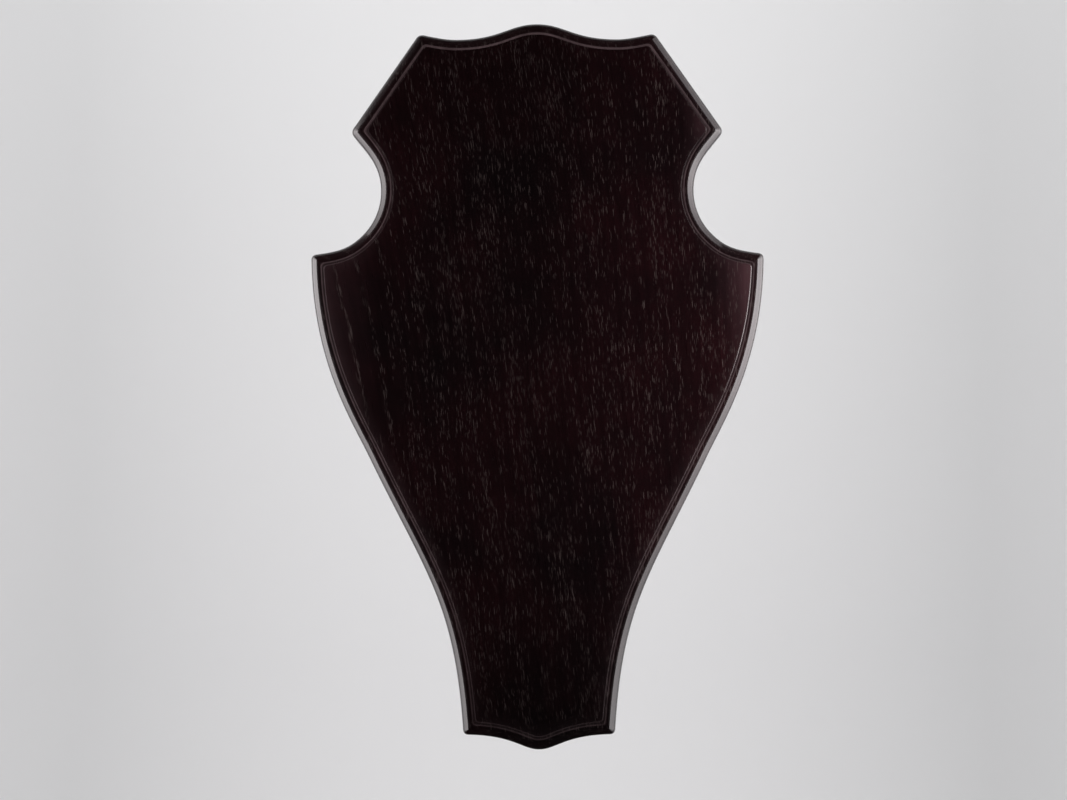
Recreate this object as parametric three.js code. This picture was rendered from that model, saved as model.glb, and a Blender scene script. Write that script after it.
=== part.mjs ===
import * as THREE from 'three';

// Trophy mounting plaque: one shaped oak board with a moulded edge all round.
// Millimetres. X runs to the right, Z up, and the front faces -Y. The origin lies on the back
// face, on the centre line at half height, where the board meets the wall.

// The board
const boardHeight = 450; // from the crest to the bottom point
const boardWidth = 280.8; // across the two wing tips
const boardThickness = 20;

// The outline's right half, from the top down. A half is measured out from the centre line,
// a drop down from the crest and a rise up from the bottom point.
const troughHalf = 50.1;
const troughDrop = 9.5;
const hornHalf = 73.1;
const hornDrop = 6;
const shoulderHalf = 115.7;
const shoulderDrop = 66.8;
const notchHalf = 97;
const notchDrop = 103.2;
const notchTurnHalf = 108.2;
const notchTurnDrop = 130.3;
const wingDrop = 142.7;
const waistHalf = 105.1;
const waistRise = 182.1;
const footHalf = 47.1;
const footRise = 9.3;

// How far each curve holds the direction that it leaves or meets a point with
const crestReach = 17.5;
const troughInnerReach = 27.8;
const troughOuterReach = 7.9;
const hornReach = 4.2;
const shoulderReach = 14.1;
const notchUpperReach = 17;
const notchLowerReach = 10.2;
const notchTurnUpperReach = 10.2;
const notchTurnLowerReach = 13;
const wingUpperReach = 16;
const wingLowerReach = 65;
const waistUpperReach = 25.2;
const waistLowerReach = 81.4;
const footUpperReach = 82.4;
const footLowerReach = 31;
const pointReach = 11;

// Directions at the corners, in degrees down from horizontal
const hornSlope = -9.6;
const shoulderSlope = 53.4;
const notchTurnSlope = 45;
const wingSlope = 7.5;
const waistSlope = 64.4;
const footSlope = 86.6;

// The moulded edge, from the outline inwards
const ovoloRadius = 6.4;
const landWidth = 0.2;
const coveWidth = 2.4;
const coveDepth = 0.6;
const arrisWidth = 0.5;
const arrisDepth = 0.25;
const backEase = 0.8;

// Rounding of the outline's corners
const tipRounding = 3.4;
const creaseRounding = 0.8;
const arrisRounding = 2.4;

// How finely the curves are cut into flats
const stepsPerRun = [24, 2, 22, 32, 14];
const cornerSteps = 4;
const ovoloSteps = 5;
const coveSteps = 3;
const samplesPerCurve = 160;

const oak = new THREE.MeshStandardMaterial({ color: 0x1e1315, roughness: 0.34, metalness: 0 });

// A point of the outline, a given distance down from the crest
function below(half, drop) {
  return new THREE.Vector2(half, boardHeight / 2 - drop);
}

// A point of the outline, a given distance up from the bottom point
function above(half, rise) {
  return new THREE.Vector2(half, rise - boardHeight / 2);
}

// A handle that lies off a point, in a direction given in degrees down from rightwards
function handle(point, slope, reach) {
  const angle = THREE.MathUtils.degToRad(slope);
  return new THREE.Vector2(point.x + reach * Math.cos(angle), point.y - reach * Math.sin(angle));
}

// The smooth runs between one corner of the outline and the next, from the crest down
function outlineRuns() {
  const crest = below(0, 0);
  const trough = below(troughHalf, troughDrop);
  const horn = below(hornHalf, hornDrop);
  const shoulder = below(shoulderHalf, shoulderDrop);
  const notch = below(notchHalf, notchDrop);
  const notchTurn = below(notchTurnHalf, notchTurnDrop);
  const wing = below(boardWidth / 2, wingDrop);
  const waist = above(waistHalf, waistRise);
  const foot = above(footHalf, footRise);
  const point = above(0, 0);
  const curve = (...points) => new THREE.CubicBezierCurve(...points);
  return [
    [
      curve(crest, handle(crest, 0, crestReach), handle(trough, 180, troughInnerReach), trough),
      curve(trough, handle(trough, 0, troughOuterReach), handle(horn, hornSlope, -hornReach), horn),
    ],
    [new THREE.LineCurve(horn, shoulder)],
    [
      curve(shoulder, handle(shoulder, 180 - shoulderSlope, shoulderReach),
        handle(notch, 90, -notchUpperReach), notch),
      curve(notch, handle(notch, 90, notchLowerReach),
        handle(notchTurn, notchTurnSlope, -notchTurnUpperReach), notchTurn),
      curve(notchTurn, handle(notchTurn, notchTurnSlope, notchTurnLowerReach),
        handle(wing, wingSlope, -wingUpperReach), wing),
    ],
    [
      curve(wing, handle(wing, 90, wingLowerReach), handle(waist, 180 - waistSlope, -waistUpperReach), waist),
      curve(waist, handle(waist, 180 - waistSlope, waistLowerReach),
        handle(foot, 180 - footSlope, -footUpperReach), foot),
    ],
    [curve(foot, handle(foot, 180, footLowerReach), handle(point, 0, pointReach), point)],
  ];
}

// One run as a fine polyline, moved inwards by the inset
function insetRun(run, inset) {
  const points = [];
  for (const [index, curve] of run.entries()) {
    for (let i = index ? 1 : 0; i <= samplesPerCurve; i++) {
      const t = i / samplesPerCurve;
      const tangent = curve.getTangent(t);
      const inward = new THREE.Vector2(tangent.y, -tangent.x);
      points.push(curve.getPoint(t).addScaledVector(inward, inset));
    }
  }
  return points;
}

// Where the segments a-b and c-d cross, or null
function crossing(a, b, c, d) {
  const ab = b.clone().sub(a);
  const cd = d.clone().sub(c);
  const ac = c.clone().sub(a);
  const scale = ab.cross(cd);
  if (scale === 0) return null;
  const s = ac.cross(cd) / scale;
  const t = ac.cross(ab) / scale;
  return s >= 0 && s <= 1 && t >= 0 && t <= 1 ? a.clone().addScaledVector(ab, s) : null;
}

// Cuts two neighbouring runs back to the mitre where they cross
function mitre(before, after) {
  for (let i = before.length - 1; i > 0; i--) {
    for (let j = 1; j < after.length; j++) {
      const corner = crossing(before[i - 1], before[i], after[j - 1], after[j]);
      if (corner) {
        before.splice(i, before.length, corner);
        after.splice(0, j, corner);
        return;
      }
    }
  }
}

// Even points along a polyline, with a length left off at either end
function evenly(points, steps, cutStart, cutEnd) {
  const lengths = [0];
  for (let i = 1; i < points.length; i++) {
    lengths.push(lengths[i - 1] + points[i].distanceTo(points[i - 1]));
  }
  const total = lengths[lengths.length - 1];
  const result = [];
  let i = 1;
  for (let step = 0; step <= steps; step++) {
    const at = cutStart + ((total - cutStart - cutEnd) * step) / steps;
    while (i < points.length - 1 && lengths[i] < at) i++;
    const t = (at - lengths[i - 1]) / (lengths[i] - lengths[i - 1]);
    result.push(points[i - 1].clone().lerp(points[i], t));
  }
  return result;
}

// The whole outline moved inwards, clockwise from the crest as the front is seen
function ring(inset, rounding) {
  const runs = outlineRuns().map((run) => insetRun(run, inset));
  for (let i = 1; i < runs.length; i++) mitre(runs[i - 1], runs[i]);
  const half = [];
  for (const [i, run] of runs.entries()) {
    const first = i === 0;
    const last = i === runs.length - 1;
    const points = evenly(run, stepsPerRun[i], first ? 0 : rounding, last ? 0 : rounding);
    if (!first) {
      const corner = new THREE.QuadraticBezierCurve(half[half.length - 1], run[0], points[0]);
      half.push(...corner.getPoints(cornerSteps).slice(1, -1));
    }
    half.push(...points);
  }
  half[0].x = 0;
  half[half.length - 1].x = 0;
  const mirrored = half.slice(1, -1).reverse();
  return [...half, ...mirrored.map((point) => new THREE.Vector2(-point.x, point.y))];
}

// The edge's section from the back to the face: inset from the outline, depth below the face,
// and the rounding of the corners at that level
function edgeLevels() {
  const landDepth = coveDepth + arrisDepth;
  const coveEnd = ovoloRadius + landWidth + coveWidth;
  const levels = [
    { inset: backEase, depth: boardThickness },
    { inset: 0, depth: boardThickness - backEase },
  ];
  for (let i = 0; i <= ovoloSteps; i++) {
    const angle = (Math.PI / 2) * (i / ovoloSteps);
    levels.push({
      inset: ovoloRadius * (1 - Math.cos(angle)),
      depth: landDepth + ovoloRadius * (1 - Math.sin(angle)),
    });
  }
  for (let i = 0; i <= coveSteps; i++) {
    const t = i / coveSteps;
    levels.push({
      inset: ovoloRadius + landWidth + coveWidth * t,
      depth: arrisDepth + coveDepth * (1 - t * t),
    });
  }
  for (const level of levels) level.rounding = Math.max(tipRounding - level.inset, creaseRounding);
  const softened = 1 - Math.SQRT1_2; // how far a rounding's middle stays off its corner
  levels.push({
    inset: coveEnd + arrisWidth * softened,
    depth: arrisDepth * softened,
    rounding: arrisRounding,
  });
  levels.push({ inset: coveEnd + arrisWidth, depth: 0, rounding: arrisRounding });
  return levels;
}

// Stacks the rings into a closed skin, with a flat back and a flat face
function boardGeometry() {
  const rings = [];
  const positions = [];
  for (const { inset, depth, rounding } of edgeLevels()) {
    const points = ring(inset, rounding);
    rings.push(points);
    for (const point of points) positions.push(point.x, depth - boardThickness, point.y);
  }
  const count = rings[0].length;
  const index = [];
  for (let level = 0; level < rings.length - 1; level++) {
    for (let i = 0; i < count; i++) {
      const a = level * count + i;
      const b = level * count + ((i + 1) % count);
      index.push(a, a + count, b, b, a + count, b + count);
    }
  }
  const faceStart = (rings.length - 1) * count;
  for (const [a, b, c] of THREE.ShapeUtils.triangulateShape(rings[0], [])) index.push(a, c, b);
  for (const [a, b, c] of THREE.ShapeUtils.triangulateShape(rings[rings.length - 1], [])) {
    index.push(faceStart + a, faceStart + b, faceStart + c);
  }
  const geometry = new THREE.BufferGeometry();
  geometry.setAttribute('position', new THREE.Float32BufferAttribute(positions, 3));
  geometry.setIndex(index);
  geometry.computeVertexNormals();
  return geometry;
}

const board = new THREE.Mesh(boardGeometry(), oak);
board.name = 'board';

const plaque = new THREE.Group();
plaque.add(board);

export default plaque;
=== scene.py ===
import math

import bpy
import numpy as np
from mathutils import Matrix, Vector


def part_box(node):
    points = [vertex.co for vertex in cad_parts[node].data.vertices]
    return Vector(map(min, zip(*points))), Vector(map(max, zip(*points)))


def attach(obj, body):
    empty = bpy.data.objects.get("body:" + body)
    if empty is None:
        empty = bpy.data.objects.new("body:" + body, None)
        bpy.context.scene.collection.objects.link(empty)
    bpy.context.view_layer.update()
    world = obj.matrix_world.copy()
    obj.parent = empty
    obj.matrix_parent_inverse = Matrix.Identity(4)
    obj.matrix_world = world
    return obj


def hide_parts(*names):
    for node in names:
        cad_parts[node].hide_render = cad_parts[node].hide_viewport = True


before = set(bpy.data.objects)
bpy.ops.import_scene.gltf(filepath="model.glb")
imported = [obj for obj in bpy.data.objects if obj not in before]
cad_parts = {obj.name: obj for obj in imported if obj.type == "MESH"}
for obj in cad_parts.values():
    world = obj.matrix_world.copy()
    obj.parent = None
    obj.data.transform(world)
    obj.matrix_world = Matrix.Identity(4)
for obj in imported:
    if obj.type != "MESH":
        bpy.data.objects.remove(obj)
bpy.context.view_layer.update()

mm = 0.001  # the camera's and the board's lengths are in millimetres, and the scene is in metres

# Trophy mounting plaque: one dark stained oak board with a moulded edge.
# It hangs with its back on the plane y = 0 and its front towards -Y.

# The camera, as the photograph was taken: square on, a little to the left of the middle and below it
cameraSetup = {
    "distance": 800,  # from the outline of the board
    "outlineDepth": 13,  # how far the outline lies in front of the back
    "photoWidth": 1067,  # pixels
    "pixelSize": 0.6210,  # millimetres on the board
    "aside": -2.8,
    "below": 8.1,
    "roll": 0.2,  # degrees
}

# The board's outline, its right half from the top down. A half is measured out from the centre line,
# a drop down from the crest and a rise up from the bottom point; a reach is how far a curve keeps
# the direction it leaves or meets a point with, and a rounding starts that far from its corner.
outlineShape = {
    "troughHalf": 50.1, "troughDrop": 9.5, "hornHalf": 73.1, "hornDrop": 6.0,
    "shoulderHalf": 115.7, "shoulderDrop": 66.8, "notchHalf": 97.0, "notchDrop": 103.2,
    "notchTurnHalf": 108.2, "notchTurnDrop": 130.3, "wingDrop": 142.7,
    "waistHalf": 105.1, "waistRise": 182.1, "footHalf": 47.1, "footRise": 9.3,
    "crestReach": 17.5, "troughInnerReach": 27.8, "troughOuterReach": 7.9, "hornReach": 4.2,
    "shoulderReach": 14.1, "notchUpperReach": 17.0, "notchLowerReach": 10.2,
    "notchTurnUpperReach": 10.2, "notchTurnLowerReach": 13.0, "wingUpperReach": 16.0,
    "wingLowerReach": 65.0, "waistUpperReach": 25.2, "waistLowerReach": 81.4,
    "footUpperReach": 82.4, "footLowerReach": 31.0, "pointReach": 11.0,
    "hornSlope": -9.6, "shoulderSlope": 53.4, "notchTurnSlope": 45.0, "wingSlope": 7.5,
    "waistSlope": 64.4, "footSlope": 86.6,  # degrees down from horizontal
    "tipRounding": 3.4, "roundingLost": 0.7,  # the tips get sharper by this share of an inset
    "creaseRounding": 0.8, "arrisRounding": 2.4,
    "mouldingShares": (0.985, 1.05, 0.98, 1.0, 1.12),  # how wide the moulding is on each run
    "stepsPerRun": (110, 60, 110, 170, 70), "cornerSteps": 10, "samplesPerCurve": 300,
}

# The moulded edge in section, from the outline inwards. Past the ovolo each row is an inset, the
# surface's tilt in degrees there, and its share of the pale colour: rubbed stain, partly painted highlight.
# Heights are from the board's middle.
mouldingShape = {
    "ovoloRadius": 6.4, "backEase": 0.8, "ovoloSteps": 18, "backSteps": 4, "sideSteps": 3, "rimSteps": 3,
    "backRub": 0.3, "ovoloRub": 0.1,  # the most that is rubbed off on the eased back arris and the ovolo
    "arrisFrom": 8.0, "fadeHeights": (72, 90), "arrisFade": (1.0, 0.3),  # the arris's pale line fades above the wing tips, as painted shade
    "topBand": (6.6, 6.9, 8.0, 8.3),  # above the notches one painted highlight band takes the place of the two lines
    "topHeights": (150, 165, 195, 206), "topShares": (0, 0.6, 0.6, 1.0),
    "rim": (
        (6.4, 0, 0.1),
        (6.7, 10, 1.0),  # a small step where the cutter stopped
        (7.05, 12, 1.0),
        (7.35, 4, 0.3),
        (8.15, 4, 0.2),  # a shallow slope up to the arris
        (8.4, 17, 0.8),
        (8.75, 17, 0.8),
        (9.0, 3, 0.12),
        (11.0, 2, 0.06),  # sanding has taken the edge of the face down a little
        (16.0, 0, 0.0),
    ),
}


def placeCamera():
    setup = cameraSetup
    camera = bpy.data.objects.new("camera", bpy.data.cameras.new("camera"))
    bpy.context.scene.collection.objects.link(camera)
    viewWidth = setup["photoWidth"] * setup["pixelSize"]
    camera.data.sensor_width = 36
    camera.data.lens = camera.data.sensor_width * setup["distance"] / viewWidth
    fromBack = setup["distance"] + setup["outlineDepth"]
    camera.location = (setup["aside"] * mm, -fromBack * mm, -setup["below"] * mm)
    camera.rotation_euler = (math.radians(90), math.radians(setup["roll"]), 0)
    camera.data.clip_start = 0.01
    camera.data.clip_end = 30
    bpy.context.scene.camera = camera
    bpy.context.scene.view_settings.view_transform = "Standard"
    print("camera placed")


def handlePoint(point, slope, reach):
    angle = math.radians(slope)
    return point + reach * np.array((math.cos(angle), -math.sin(angle)))


# A cubic curve as points and the inward normals there
def sampleCurve(a, b, c, d, samples):
    t = np.linspace(0, 1, samples + 1)[:, None]
    points = (1 - t) ** 3 * a + 3 * (1 - t) ** 2 * t * b + 3 * (1 - t) * t ** 2 * c + t ** 3 * d
    tangents = (1 - t) ** 2 * (b - a) + 2 * (1 - t) * t * (c - b) + t ** 2 * (d - c)
    tangents /= np.linalg.norm(tangents, axis=1)[:, None]
    return points, np.stack((tangents[:, 1], -tangents[:, 0]), axis=1)


# The smooth runs from one corner of the outline to the next, as points and inward normals
def outlineRuns(width, height):
    s = outlineShape
    samples = s["samplesPerCurve"]
    top = height / 2

    def below(half, drop):
        return np.array((half, top - drop))

    def above(half, rise):
        return np.array((half, rise - top))

    crest = below(0, 0)
    trough = below(s["troughHalf"], s["troughDrop"])
    horn = below(s["hornHalf"], s["hornDrop"])
    shoulder = below(s["shoulderHalf"], s["shoulderDrop"])
    notch = below(s["notchHalf"], s["notchDrop"])
    notchTurn = below(s["notchTurnHalf"], s["notchTurnDrop"])
    wing = below(width / 2, s["wingDrop"])
    waist = above(s["waistHalf"], s["waistRise"])
    foot = above(s["footHalf"], s["footRise"])
    point = above(0, 0)

    def curve(start, startSlope, startReach, end, endSlope, endReach):
        startHandle = handlePoint(start, startSlope, startReach)
        endHandle = handlePoint(end, endSlope, -endReach)
        return sampleCurve(start, startHandle, endHandle, end, samples)

    def line(start, end):
        third = (end - start) / 3
        return sampleCurve(start, start + third, end - third, end, samples)

    shoulderSlope = 180 - s["shoulderSlope"]
    waistSlope = 180 - s["waistSlope"]
    footSlope = 180 - s["footSlope"]
    runs = [
        [
            curve(crest, 0, s["crestReach"], trough, 0, s["troughInnerReach"]),
            curve(trough, 0, s["troughOuterReach"], horn, s["hornSlope"], s["hornReach"]),
        ],
        [line(horn, shoulder)],
        [
            curve(shoulder, shoulderSlope, s["shoulderReach"], notch, 90, s["notchUpperReach"]),
            curve(notch, 90, s["notchLowerReach"], notchTurn, s["notchTurnSlope"], s["notchTurnUpperReach"]),
            curve(notchTurn, s["notchTurnSlope"], s["notchTurnLowerReach"],
                  wing, s["wingSlope"], s["wingUpperReach"]),
        ],
        [
            curve(wing, 90, s["wingLowerReach"], waist, waistSlope, s["waistUpperReach"]),
            curve(waist, waistSlope, s["waistLowerReach"], foot, footSlope, s["footUpperReach"]),
        ],
        [curve(foot, 180, s["footLowerReach"], point, 180, s["pointReach"])],
    ]
    joined = []
    for run in runs:
        points = np.concatenate([part[0][1 if i else 0:] for i, part in enumerate(run)])
        normals = np.concatenate([part[1][1 if i else 0:] for i, part in enumerate(run)])
        joined.append((points, normals))
    return joined


# Where two polylines cross, nearest to the end of the first: the segment on each and the point
def findMitre(before, after):
    a, ab = before[:-1], np.diff(before, axis=0)
    c, cd = after[:-1], np.diff(after, axis=0)
    acX = c[None, :, 0] - a[:, None, 0]
    acY = c[None, :, 1] - a[:, None, 1]
    scale = ab[:, None, 0] * cd[None, :, 1] - ab[:, None, 1] * cd[None, :, 0]
    scale = np.where(scale == 0, 1e-30, scale)
    s = (acX * cd[None, :, 1] - acY * cd[None, :, 0]) / scale
    t = (acX * ab[:, None, 1] - acY * ab[:, None, 0]) / scale
    hits = np.argwhere((s >= 0) & (s <= 1) & (t >= 0) & (t <= 1))
    if not len(hits):
        return None
    i, j = hits[np.lexsort((hits[:, 1], -hits[:, 0]))[0]]
    return i, j, a[i] + s[i, j] * ab[i]


# Even points and normals along a run, with a length left off at either end
def spreadEvenly(points, normals, steps, cutStart, cutEnd):
    lengths = np.concatenate(((0,), np.cumsum(np.linalg.norm(np.diff(points, axis=0), axis=1))))
    at = np.linspace(cutStart, lengths[-1] - cutEnd, steps + 1)
    spreadPoints = np.stack([np.interp(at, lengths, points[:, k]) for k in (0, 1)], axis=1)
    spreadNormals = np.stack([np.interp(at, lengths, normals[:, k]) for k in (0, 1)], axis=1)
    return spreadPoints, spreadNormals


# The whole outline moved inwards, clockwise from the crest: points and outward normals
def makeRing(runs, inset, rounding):
    s = outlineShape
    moved = [(points + normals * inset * share, normals)
             for (points, normals), share in zip(runs, s["mouldingShares"])]
    for i in range(1, len(moved)):
        (before, beforeNormals), (after, afterNormals) = moved[i - 1], moved[i]
        hit = findMitre(before, after) if inset > 0 else None
        if hit:
            last, first, corner = hit
            before = np.vstack((before[:last + 1], corner))
            after = np.vstack((corner, after[first + 1:]))
            moved[i - 1] = (before, beforeNormals[:last + 2])
            moved[i] = (after, afterNormals[first:])
    half, halfNormals = [], []
    for i, (points, normals) in enumerate(moved):
        cutStart = rounding if i else 0
        cutEnd = rounding if i < len(moved) - 1 else 0
        evenPoints, evenNormals = spreadEvenly(points, normals, s["stepsPerRun"][i], cutStart, cutEnd)
        if i:
            t = np.linspace(0, 1, s["cornerSteps"] + 1)[1:-1, None]
            start, end = half[-1][-1], evenPoints[0]
            half.append((1 - t) ** 2 * start + 2 * (1 - t) * t * points[0] + t ** 2 * end)
            halfNormals.append((1 - t) * halfNormals[-1][-1] + t * evenNormals[0])
        half.append(evenPoints)
        halfNormals.append(evenNormals)
    half = np.concatenate(half)
    outward = -np.concatenate(halfNormals)
    half[0, 0] = half[-1, 0] = 0
    mirror = np.array((-1, 1))
    points = np.concatenate((half, half[-2:0:-1] * mirror))
    outward = np.concatenate((outward, outward[-2:0:-1] * mirror))
    return points, outward / np.linalg.norm(outward, axis=1)[:, None]


# The section from the back to the face, as (inset, depth below the face, tilt of the surface in
# radians, share of the pale colour there: rubbed stain, partly painted highlight)
def edgeSection(thickness):
    m = mouldingShape
    ease, radius = m["backEase"], m["ovoloRadius"]
    rim = []
    for (inset, tilt, paleShare), (nextInset, nextTilt, nextPaleShare) in zip(m["rim"], m["rim"][1:]):
        for i in range(m["rimSteps"]):
            t = i / m["rimSteps"]
            rim.append([inset + (nextInset - inset) * t, math.radians(tilt + (nextTilt - tilt) * t),
                        paleShare + (nextPaleShare - paleShare) * t])
    rim.append([nextInset, math.radians(nextTilt), nextPaleShare])
    depths = [0]
    for (inset, tilt, paleShare), (nextInset, nextTilt, nextPaleShare) in zip(rim[-2::-1], rim[:0:-1]):
        depths.insert(0, depths[0] + (nextInset - inset) * math.tan((tilt + nextTilt) / 2))
    landDepth = depths[0]
    section = []
    for i in range(m["backSteps"] + 1):
        tilt = math.pi - math.pi / 2 * i / m["backSteps"]
        inset, depth = ease * (1 - math.sin(tilt)), thickness - ease * (1 + math.cos(tilt))
        section.append((inset, depth, tilt, -m["backRub"] * math.sin(2 * tilt)))
    sideTop = landDepth + radius
    for i in range(1, m["sideSteps"]):
        depth = thickness - ease + (sideTop - thickness + ease) * i / m["sideSteps"]
        section.append((0, depth, math.pi / 2, 0))
    for i in range(m["ovoloSteps"]):
        tilt = math.pi / 2 * (1 - i / m["ovoloSteps"])
        inset, depth = radius * (1 - math.sin(tilt)), landDepth + radius * (1 - math.cos(tilt))
        section.append((inset, depth, tilt, m["ovoloRub"] * math.sin(2 * tilt)))
    section += [(inset, depth, tilt, paleShare) for (inset, tilt, paleShare), depth in zip(rim, depths)]
    return section


def buildBoard():
    s, m = outlineShape, mouldingShape
    low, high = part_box("board")
    width, thickness, height = ((high[k] - low[k]) / mm for k in range(3))
    runs = outlineRuns(width, height)
    points, normals, rubAndHighlight, faces = [], [], [], []
    for inset, depth, tilt, paleShare in edgeSection(thickness):
        pastOvolo = inset > m["ovoloRadius"]
        rounding = max(s["tipRounding"] - s["roundingLost"] * inset, s["creaseRounding"])
        if pastOvolo:
            rounding = s["arrisRounding"]
        ring, outward = makeRing(runs, inset, rounding)
        y = np.full(len(ring), high[1] / mm - (thickness - depth))
        points.append(np.stack((ring[:, 0], y, ring[:, 1]), axis=1) * mm)
        side = math.sin(tilt)
        normals.append(np.stack((outward[:, 0] * side, np.full(len(ring), -math.cos(tilt)),
                                 outward[:, 1] * side), axis=1))
        # The pale share: rubbed stain, with painted highlight and shade that change with height on the board
        ringRubAndHighlight = np.full(len(ring), float(paleShare))
        if inset > m["arrisFrom"]:
            ringRubAndHighlight *= np.interp(ring[:, 1], m["fadeHeights"], m["arrisFade"])
        if pastOvolo:
            topBandShare = np.interp(inset, m["topBand"], (0, 1, 1, 0))
            ringRubAndHighlight += (topBandShare - ringRubAndHighlight) * np.interp(ring[:, 1], m["topHeights"], m["topShares"])
        rubAndHighlight += list(ringRubAndHighlight)
    count, levels = len(points[0]), len(points)
    following = [(i + 1) % count for i in range(count)]
    for level in range(levels - 1):
        base = level * count
        faces += [(base + i, base + count + i, base + count + following[i], base + following[i])
                  for i in range(count)]
    faces.append(tuple(range(count)))
    faces.append(tuple(reversed(range((levels - 1) * count, levels * count))))
    mesh = bpy.data.meshes.new("oakBoard")
    mesh.from_pydata(np.concatenate(points).tolist(), [], faces)
    mesh.validate()
    mesh.attributes.new("rubAndHighlightShare", "FLOAT", "POINT").data.foreach_set("value", rubAndHighlight)
    mesh.shade_smooth()
    mesh.normals_split_custom_set_from_vertices(np.concatenate(normals).tolist())
    board = bpy.data.objects.new("oakBoard", mesh)
    bpy.context.scene.collection.objects.link(board)
    print("board built,", len(mesh.vertices), "points")
    return board


# A node, with its settings and its inputs: a value, or a socket that it's linked to
def addNode(tree, kind, inputs=None, **settings):
    node = tree.nodes.new(kind)
    for name, value in settings.items():
        setattr(node, name, value)
    for name, value in (inputs or {}).items():
        if isinstance(value, bpy.types.NodeSocket):
            tree.links.new(value, node.inputs[name])
        else:
            node.inputs[name].default_value = value
    return node


def doMath(tree, operation, *values):
    return addNode(tree, "ShaderNodeMath", dict(enumerate(values)), operation=operation).outputs[0]


# Takes a value that runs from fromLow to fromHigh over to toLow to toHigh, and no further either way
def remap(tree, value, fromLow, fromHigh, toLow, toHigh, smooth=False):
    inputs = {"Value": value, "From Min": fromLow, "From Max": fromHigh, "To Min": toLow, "To Max": toHigh}
    node = addNode(tree, "ShaderNodeMapRange", inputs,
                   interpolation_type="SMOOTHSTEP" if smooth else "LINEAR")
    return node.outputs["Result"]


def mixColours(tree, share, first, second):
    node = addNode(tree, "ShaderNodeMix", data_type="RGBA")
    for index, value in ((0, share), (6, first), (7, second)):  # the sockets for colours
        if isinstance(value, bpy.types.NodeSocket):
            tree.links.new(value, node.inputs[index])
        else:
            node.inputs[index].default_value = value
    return node.outputs[2]


# Dark mahogany stain on open-pored oak, under a satin varnish. Lengths here are in metres.
stainedOak = {
    "darkStain": (0.0021, 0.0007, 0.0010, 1),
    "redStain": (0.0066, 0.0009, 0.0014, 1),
    # painted sheen: a paler colour mixed in at the wing tips and the right shoulder
    "paintedSheenColour": (0.040, 0.018, 0.021, 1),
    # painted glints: the open pores take a pale grey colour
    "poreGlintColour": (0.0315, 0.0222, 0.0205, 1), "poreGlintShare": 0.8,
    "rubAndHighlightColour": (0.056, 0.038, 0.040, 1),
    "ringWidth": 0.0052, "pithAside": 0.03, "pithBehind": 0.30, "pithLean": -0.012, "earlyWood": 0.25,
    "roughness": 0.30, "poreRoughness": 0.22, "sheen": 0.18, "varnishRoughness": 0.09,
    "poreDepth": 0.000016, "grainDepth": 0.000004,
    # Noise patterns, with their scale, detail and roughness:
    "wanderNoise": (9.0, 2.0), "patchNoise": (22.0, 3.0), "wearNoise": (120.0, 4.0),
    "blotchNoise": (11.0, 4.0, 0.6), "columnNoise": ((300, 300, 14), 2.0),
    "streakNoise": ((1500, 1500, 60), 3.0),
    # Where a change starts and ends, measured from the middle of the back, and the value at either end.
    # Left to right:
    "leanAtLeft": (-0.14, -0.05, 0.21, 0.12),  # the grain leans to the right as it runs down
    "leanAtRight": (0.0, 0.10, 0, -0.07),  # and less so here
    "poresInRings": (-0.10, 0.0, 1.25, 0.4),
    "poresBetween": (-0.108, -0.06, 0.05, 0.66),
    "poreWidth": (-0.12, -0.085, 1.3, 1.0),
    # Painted light: the face brighter towards the right
    "paintedLightRight": (0.0, 0.11, 1.0, 1.85),
    "paintedSheenLeft": (-0.095, -0.135, 0, 0.18),  # painted sheen at the wing tips
    "paintedSheenRight": (0.100, 0.134, 0, 1), "rightPower": 2.5,
    "paintedSheenShoulder": (0.085, 0.106, 0, 1), "shoulderPower": 2.0,  # and at the right shoulder
    # From the foot up:
    # Painted shade: the face darker towards the foot and towards the top
    "paintedShadeBottom": (-0.21, -0.08, 0.55, 1.0),
    "paintedShadeTop": (0.10, 0.21, 1.0, 0.75),
    # painted shade: the pale rubbed lines fainter towards the foot
    "paintedShadeLow": (-0.20, -0.05, 0.35, 1.0),
    "rightHeights": (0.015, 0.065, 0.1, 0.8),
    "shoulderHeights": (0.140, 0.160, 0, 0.4),
    "notchFoot": (0.08, 0.10, 0, 1), "notchHead": (0.145, 0.16, 1, 0),
    "dullerNotches": 0.25,  # less varnish holds on the edge there
    # From the face back:
    "offFace": (-0.01985, -0.0196, 0, 1),
    "varnish": (-0.0015, -0.0003, 1.0, 0.1),
    # Over a noise pattern's own values:
    "wander": (0, 1, -0.004, 0.004),
    "patchPores": (0.3, 0.7, 0.5, 1.3),
    "columnPores": (0.35, 0.65, 0.2, 1.6), "columnShade": (0.35, 0.65, 0.85, 1.12),
    "blotchWarmth": (0.3, 0.7, 0, 1), "streakWarmth": (0.3, 0.7, 0.5, 1.0),
    "streakRoughness": (0.3, 0.7, -0.03, 0.05),
    "patchyWear": (0.3, 0.7, 0.55, 1.0),
}

# Open pores, in three layers of long cells: how wide and how long a cell is in millimetres, and where
# its pattern starts. A pore's size is a share of its cell.
openPores = {
    "layers": ((0.88, 12.5, (0, 0, 0)), (0.74, 9.0, (31.7, 12.1, 7.3)), (0.65, 6.5, (11.3, 47.9, 3.1))),
    "size": 0.345, "smallest": 0.55, "faintest": 0.3, "softEdge": 0.2,
    "thinning": 0.12,  # over how much of the density a pore shrinks away
}


# A noise pattern's value. A scale of three numbers stretches the pattern along the axes.
def makeNoise(tree, place, scale, detail, roughness=0.5):
    if isinstance(scale, tuple):
        place = addNode(tree, "ShaderNodeMapping", {"Vector": place, "Scale": scale}).outputs[0]
        scale = 1.0
    noise = addNode(tree, "ShaderNodeTexNoise", {"Vector": place, "Scale": scale, "Detail": detail,
                                                 "Roughness": roughness})
    return noise.outputs[0]


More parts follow.
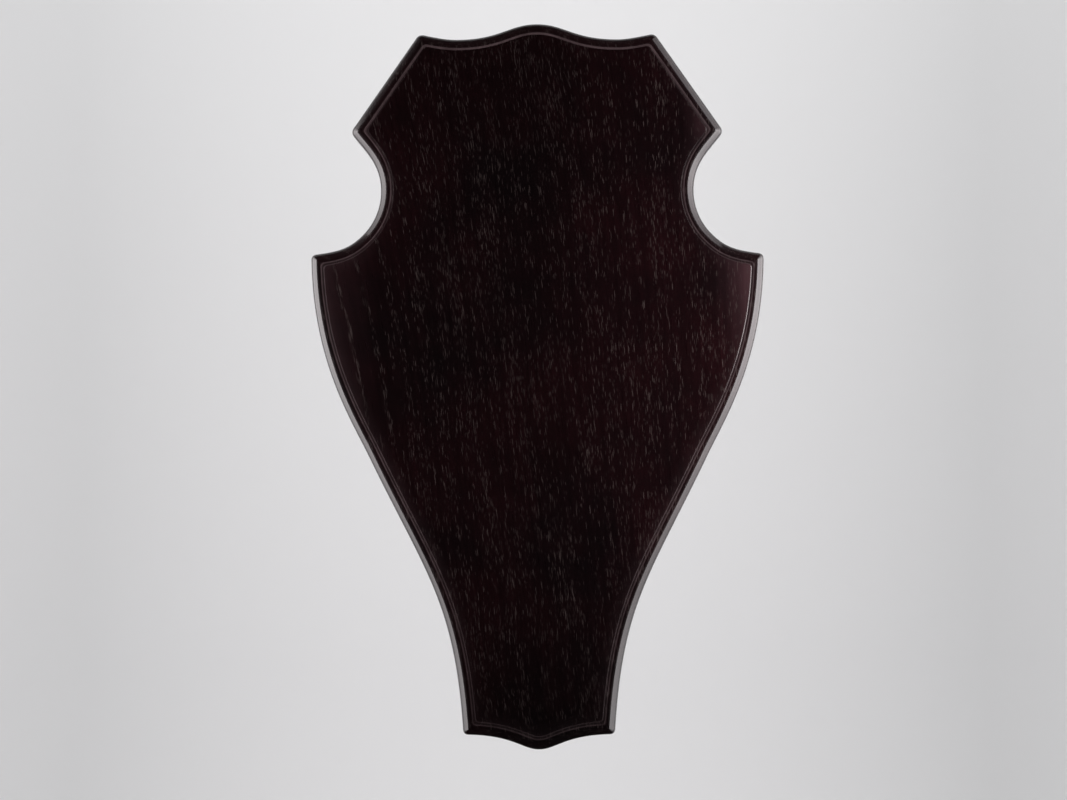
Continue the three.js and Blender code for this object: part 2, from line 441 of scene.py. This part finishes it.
# 1 inside a pore and 0 outside
def poreLayer(tree, grain, density, width, acrossMm, alongMm, start):
    p = openPores
    scale = (1000 / acrossMm, 1000 / acrossMm, 1000 / alongMm)
    mapping = addNode(tree, "ShaderNodeMapping", {"Vector": grain, "Location": start, "Scale": scale})
    cells = addNode(tree, "ShaderNodeTexVoronoi",
                    {"Vector": mapping.outputs[0], "Scale": 1.0, "Randomness": 1.0},
                    voronoi_dimensions="3D", feature="F1")
    parts = addNode(tree, "ShaderNodeSeparateColor", {"Color": cells.outputs["Color"]})
    present = remap(tree, doMath(tree, "SUBTRACT", density, parts.outputs[0]), 0.0, p["thinning"], 0, 1)
    size = remap(tree, parts.outputs[1], 0, 1, p["size"] * p["smallest"], p["size"])
    reach = doMath(tree, "MULTIPLY", doMath(tree, "MULTIPLY", present, size), width)
    inside = doMath(tree, "SUBTRACT", reach, cells.outputs["Distance"])
    strength = remap(tree, parts.outputs[2], 0, 1, p["faintest"], 1.0)
    return doMath(tree, "MULTIPLY", remap(tree, inside, 0, p["size"] * p["softEdge"], 0, 1), strength)


def makeStainedOak():
    look = stainedOak
    material = bpy.data.materials.new("stainedOak")
    material.use_nodes = True
    tree = material.node_tree
    tree.nodes.clear()
    place = addNode(tree, "ShaderNodeTexCoord").outputs["Object"]
    axes = addNode(tree, "ShaderNodeSeparateXYZ", {0: place})
    x, y, z = axes.outputs

    # The grain leans, more so at the left, and wanders a little
    lean = doMath(tree, "ADD", remap(tree, x, *look["leanAtLeft"], smooth=True),
                  remap(tree, x, *look["leanAtRight"], smooth=True))
    wander = makeNoise(tree, place, *look["wanderNoise"])
    drift = remap(tree, wander, *look["wander"])
    across = doMath(tree, "ADD", doMath(tree, "MULTIPLY_ADD", lean, z, x), drift)
    grain = addNode(tree, "ShaderNodeCombineXYZ", {0: across, 1: y, 2: z}).outputs[0]

    # Growth rings round a pith that lies well behind the board
    aside = doMath(tree, "SUBTRACT", across, look["pithAside"])
    behind = doMath(tree, "MULTIPLY_ADD", z, look["pithLean"], look["pithBehind"])
    behind = doMath(tree, "SUBTRACT", behind, y)
    radius = doMath(tree, "SQRT", doMath(tree, "ADD", doMath(tree, "MULTIPLY", aside, aside),
                                         doMath(tree, "MULTIPLY", behind, behind)))
    ring = doMath(tree, "FRACT", doMath(tree, "DIVIDE", radius, look["ringWidth"]))
    late = remap(tree, ring, look["earlyWood"] / 2, look["earlyWood"], 0, 1, smooth=True)
    early = doMath(tree, "SUBTRACT", 1.0, late)

    # Pores: close together in the early wood of each ring, and in patches and columns between
    patches = makeNoise(tree, grain, *look["patchNoise"])
    columns = makeNoise(tree, grain, *look["columnNoise"])
    between = remap(tree, x, *look["poresBetween"], smooth=True)
    between = doMath(tree, "MULTIPLY", between, remap(tree, patches, *look["patchPores"]))
    between = doMath(tree, "MULTIPLY", between, remap(tree, columns, *look["columnPores"]))
    density = doMath(tree, "MULTIPLY_ADD", early, remap(tree, x, *look["poresInRings"]), between)
    width = remap(tree, x, *look["poreWidth"])
    large, middle, small = (poreLayer(tree, grain, density, width, *layer) for layer in openPores["layers"])
    pores = doMath(tree, "MAXIMUM", doMath(tree, "MAXIMUM", large, middle), small)

    # Colour: uneven stain, fine streaks, painted glints in the pores, painted sheen, painted light and
    # shade, and rubbed arrises partly painted as highlights
    blotches = makeNoise(tree, grain, *look["blotchNoise"])
    streaks = makeNoise(tree, grain, *look["streakNoise"])
    warmth = doMath(tree, "MULTIPLY", remap(tree, blotches, *look["blotchWarmth"], smooth=True),
                    remap(tree, streaks, *look["streakWarmth"]))
    colour = mixColours(tree, warmth, look["darkStain"], look["redStain"])
    # Painted sheen: a paler colour at the wing tips and the right shoulder
    wing = doMath(tree, "POWER", remap(tree, x, *look["paintedSheenRight"]), look["rightPower"])
    wing = doMath(tree, "MULTIPLY", wing, remap(tree, z, *look["rightHeights"]))
    shoulder = doMath(tree, "POWER", remap(tree, x, *look["paintedSheenShoulder"]), look["shoulderPower"])
    shoulder = doMath(tree, "MULTIPLY", shoulder, remap(tree, z, *look["shoulderHeights"]))
    paintedSheen = doMath(tree, "ADD", remap(tree, x, *look["paintedSheenLeft"], smooth=True),
                   doMath(tree, "MAXIMUM", wing, shoulder))
    onEdge = remap(tree, y, *look["offFace"])
    paintedSheen = doMath(tree, "MULTIPLY", paintedSheen, doMath(tree, "SUBTRACT", 1.0, onEdge))
    colour = mixColours(tree, paintedSheen, colour, look["paintedSheenColour"])
    # Painted glints: the open pores take a pale colour
    colour = mixColours(tree, doMath(tree, "MULTIPLY", pores, look["poreGlintShare"]), colour, look["poreGlintColour"])
    # Painted light and shade: brighter to the right, darker at the top and bottom; the columns are grain
    # tone
    paintedLightAndGrain = doMath(tree, "MULTIPLY", remap(tree, x, *look["paintedLightRight"]),
                   remap(tree, z, *look["paintedShadeTop"]))
    paintedLightAndGrain = doMath(tree, "MULTIPLY", paintedLightAndGrain, remap(tree, z, *look["paintedShadeBottom"]))
    paintedLightAndGrain = doMath(tree, "MULTIPLY", paintedLightAndGrain, remap(tree, columns, *look["columnShade"]))
    colour = addNode(tree, "ShaderNodeVectorMath", {0: colour, 3: paintedLightAndGrain}, operation="SCALE").outputs[0]
    # Pale lines on the moulding: partly rubbed stain, partly painted highlight, fainter low down as painted
    # shade
    rubAndHighlight = addNode(tree, "ShaderNodeAttribute", attribute_name="rubAndHighlightShare").outputs["Fac"]
    wear = makeNoise(tree, place, *look["wearNoise"])
    wearAndShadeLow = doMath(tree, "MULTIPLY", remap(tree, wear, *look["patchyWear"]),
                     remap(tree, z, *look["paintedShadeLow"]))
    colour = mixColours(tree, doMath(tree, "MULTIPLY", rubAndHighlight, wearAndShadeLow), colour, look["rubAndHighlightColour"])

    # Gloss: pores and streaks are rougher, and the varnish thins out behind and in the notches
    roughness = doMath(tree, "ADD", remap(tree, streaks, *look["streakRoughness"]),
                       doMath(tree, "MULTIPLY_ADD", pores, look["poreRoughness"], look["roughness"]))
    notch = doMath(tree, "MINIMUM", remap(tree, z, *look["notchFoot"]), remap(tree, z, *look["notchHead"]))
    notch = doMath(tree, "MULTIPLY", notch, onEdge)
    held = doMath(tree, "MULTIPLY_ADD", notch, -look["dullerNotches"], 1.0)
    varnish = doMath(tree, "MULTIPLY", remap(tree, y, *look["varnish"]), held)

    # Relief: pores sunk into the face, fine streaks along the grain
    sunk = doMath(tree, "MULTIPLY", pores, -1.0)
    poreBump = addNode(tree, "ShaderNodeBump", {"Height": sunk, "Distance": look["poreDepth"],
                                                "Strength": 1.0})
    grainBump = addNode(tree, "ShaderNodeBump", {"Height": streaks, "Distance": look["grainDepth"],
                                                 "Strength": 1.0, "Normal": poreBump.outputs[0]})
    shader = addNode(tree, "ShaderNodeBsdfPrincipled",
                     {"Base Color": colour, "Roughness": roughness, "Normal": grainBump.outputs[0],
                      "Specular IOR Level": look["sheen"],
                      "Coat Weight": varnish, "Coat Roughness": look["varnishRoughness"]})
    addNode(tree, "ShaderNodeOutputMaterial", {"Surface": shader.outputs[0]})
    print("stained oak made")
    return material


# The stage, in metres: a pale floor that curves up into a pale backdrop
stageShape = {
    "floorBelow": 1.25, "backdropBehind": 1.9, "sweepRadius": 0.7, "front": 30.0, "halfWidth": 40.0,
    "top": 12.0, "sweepSteps": 24, "colour": (0.80, 0.805, 0.81, 1), "sky": 0.41,
    "farColour": (1, 1, 1, 1), "fadeFrom": 3.0, "fadeTo": 12.0,  # far off the paper melts into the sky
}


def makeSheet(name, line, material):
    points = [(side * stageShape["halfWidth"], y, z) for y, z in line for side in (-1, 1)]
    faces = [(2 * i, 2 * i + 1, 2 * i + 3, 2 * i + 2) for i in range(len(line) - 1)]
    mesh = bpy.data.meshes.new(name)
    mesh.from_pydata(points, [], faces)
    mesh.shade_smooth()
    mesh.materials.append(material)
    sheet = bpy.data.objects.new(name, mesh)
    bpy.context.scene.collection.objects.link(sheet)
    return sheet


def makeStage():
    s = stageShape
    material = bpy.data.materials.new("palePaper")
    material.use_nodes = True
    tree = material.node_tree
    shader = tree.nodes["Principled BSDF"]
    place = addNode(tree, "ShaderNodeTexCoord").outputs["Object"]
    distance = addNode(tree, "ShaderNodeVectorMath", {0: place}, operation="LENGTH").outputs["Value"]
    far = remap(tree, distance, s["fadeFrom"], s["fadeTo"], 0, 1, smooth=True)
    tree.links.new(mixColours(tree, far, s["colour"], s["farColour"]), shader.inputs["Base Color"])
    shader.inputs["Roughness"].default_value = 1.0
    shader.inputs["Specular IOR Level"].default_value = 0.0
    line = []
    for i in range(s["sweepSteps"] + 1):
        angle = math.pi / 2 * i / s["sweepSteps"]
        line.append((s["backdropBehind"] - s["sweepRadius"] * (1 - math.sin(angle)),
                     -s["floorBelow"] + s["sweepRadius"] * (1 - math.cos(angle))))
    line.append((s["backdropBehind"], s["top"]))
    makeSheet("paleBackdrop", line, material)
    floor = makeSheet("paleFloor", [(-s["front"], -s["floorBelow"]), line[0]], material)
    floor.visible_glossy = False
    world = bpy.data.worlds.new("studio")
    world.use_nodes = True
    background = world.node_tree.nodes["Background"]
    background.inputs["Color"].default_value = (1, 1, 1, 1)
    background.inputs["Strength"].default_value = s["sky"]
    world.cycles_visibility.glossy = False
    bpy.context.scene.world = world
    print("stage made")


# Two tall soft boxes, one each side, brightest at the camera's height and at their front edges,
# and one lamp over the backdrop, in metres and degrees. Radiance is that of the brightest place,
# and it falls to half as far above and below as "glow" says.
softBoxes = {
    "leftBox": {"side": -0.95, "front": -0.63, "back": 0.40, "height": 1.7, "glow": 0.66, "radiance": 8.0,
                "turn": -90},
    "rightBox": {"side": 0.95, "front": -0.95, "back": 0.40, "height": 2.4, "glow": 0.52, "radiance": 9.2,
                 "turn": 90},
}
softBoxShape = {"middle": 0.03, "backShare": 0.30, "colour": (1.0, 0.955, 0.97)}
backLamp = {"place": (0, 0.75, 1.7), "width": 3.0, "depth": 0.8, "power": 12, "tip": 40}


def addLamp(name, place, turn, size, power):
    light = bpy.data.lights.new(name, "AREA")
    light.shape = "RECTANGLE"
    light.size, light.size_y = size
    light.energy = power
    holder = bpy.data.objects.new(name, light)
    holder.location = place
    holder.rotation_euler = [math.radians(angle) for angle in turn]
    holder.visible_camera = False
    bpy.context.scene.collection.objects.link(holder)
    return holder


def makeLamps():
    shape = softBoxShape
    for name, box in softBoxes.items():
        depth = box["back"] - box["front"]
        place = (box["side"], (box["front"] + box["back"]) / 2, shape["middle"])
        power = box["radiance"] * math.pi * box["height"] * depth
        holder = addLamp(name, place, (0, box["turn"], 0), (box["height"], depth), power)
        light = holder.data
        light.color = shape["colour"]
        light.use_nodes = True
        tree = light.node_tree
        across = addNode(tree, "ShaderNodeNewGeometry").outputs["Parametric"]
        along, back, _ = addNode(tree, "ShaderNodeSeparateXYZ", {0: across}).outputs
        off = doMath(tree, "DIVIDE", doMath(tree, "SUBTRACT", along, 0.5), box["glow"] / box["height"])
        glow = doMath(tree, "DIVIDE", 1.0, doMath(tree, "MULTIPLY_ADD", off, off, 1.0))
        fall = remap(tree, back, 0, 1, 1.0, shape["backShare"])
        emission = next(node for node in tree.nodes if node.type == "EMISSION")
        tree.links.new(doMath(tree, "MULTIPLY", glow, fall), emission.inputs["Strength"])
        outer = bpy.data.objects.new(name + "Outer", light)  # shines outwards, onto the stage beyond
        outer.location = place
        outer.rotation_euler = (0, math.radians(-box["turn"]), 0)
        outer.visible_camera = outer.visible_glossy = False
        bpy.context.scene.collection.objects.link(outer)
    lamp = backLamp
    size = (lamp["width"], lamp["depth"])
    holder = addLamp("backLamp", lamp["place"], (lamp["tip"], 0, 0), size, lamp["power"])
    holder.visible_glossy = False
    print("lamps made")


placeCamera()
makeStage()
makeLamps()
board = buildBoard()
board.data.materials.append(makeStainedOak())
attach(board, "root")
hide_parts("board")
